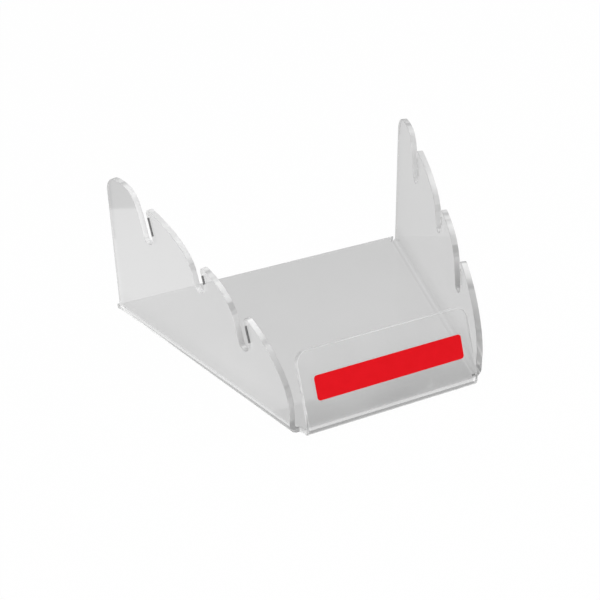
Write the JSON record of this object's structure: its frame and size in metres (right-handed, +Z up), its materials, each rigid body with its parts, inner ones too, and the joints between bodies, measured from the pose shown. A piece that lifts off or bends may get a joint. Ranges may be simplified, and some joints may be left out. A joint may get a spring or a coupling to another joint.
{
  "type": "knife display stand",
  "caption": "Clear bent-sheet knife display stand with a trapezoid base, notched side walls that step down in humps, and a leaning label lip.",
  "frame": {"origin": "on the table, under the middle of the stand's overall width and depth", "axes": "+X across the stand to the right as seen from the front, +Y to the rear, +Z up; the label lip is at -Y"},
  "size_m": [0.1734, 0.153, 0.0825],
  "materials": {
    "clear_acrylic": "clear, polished faces and edges"
  },
  "bodies": {
    "root": {"base_panel": "clear_acrylic", "left_bend": "clear_acrylic", "right_bend": "clear_acrylic", "left_wall": "clear_acrylic", "right_wall": "clear_acrylic", "front_bend": "clear_acrylic", "front_lip": "clear_acrylic"}
  },
  "joints": []
}
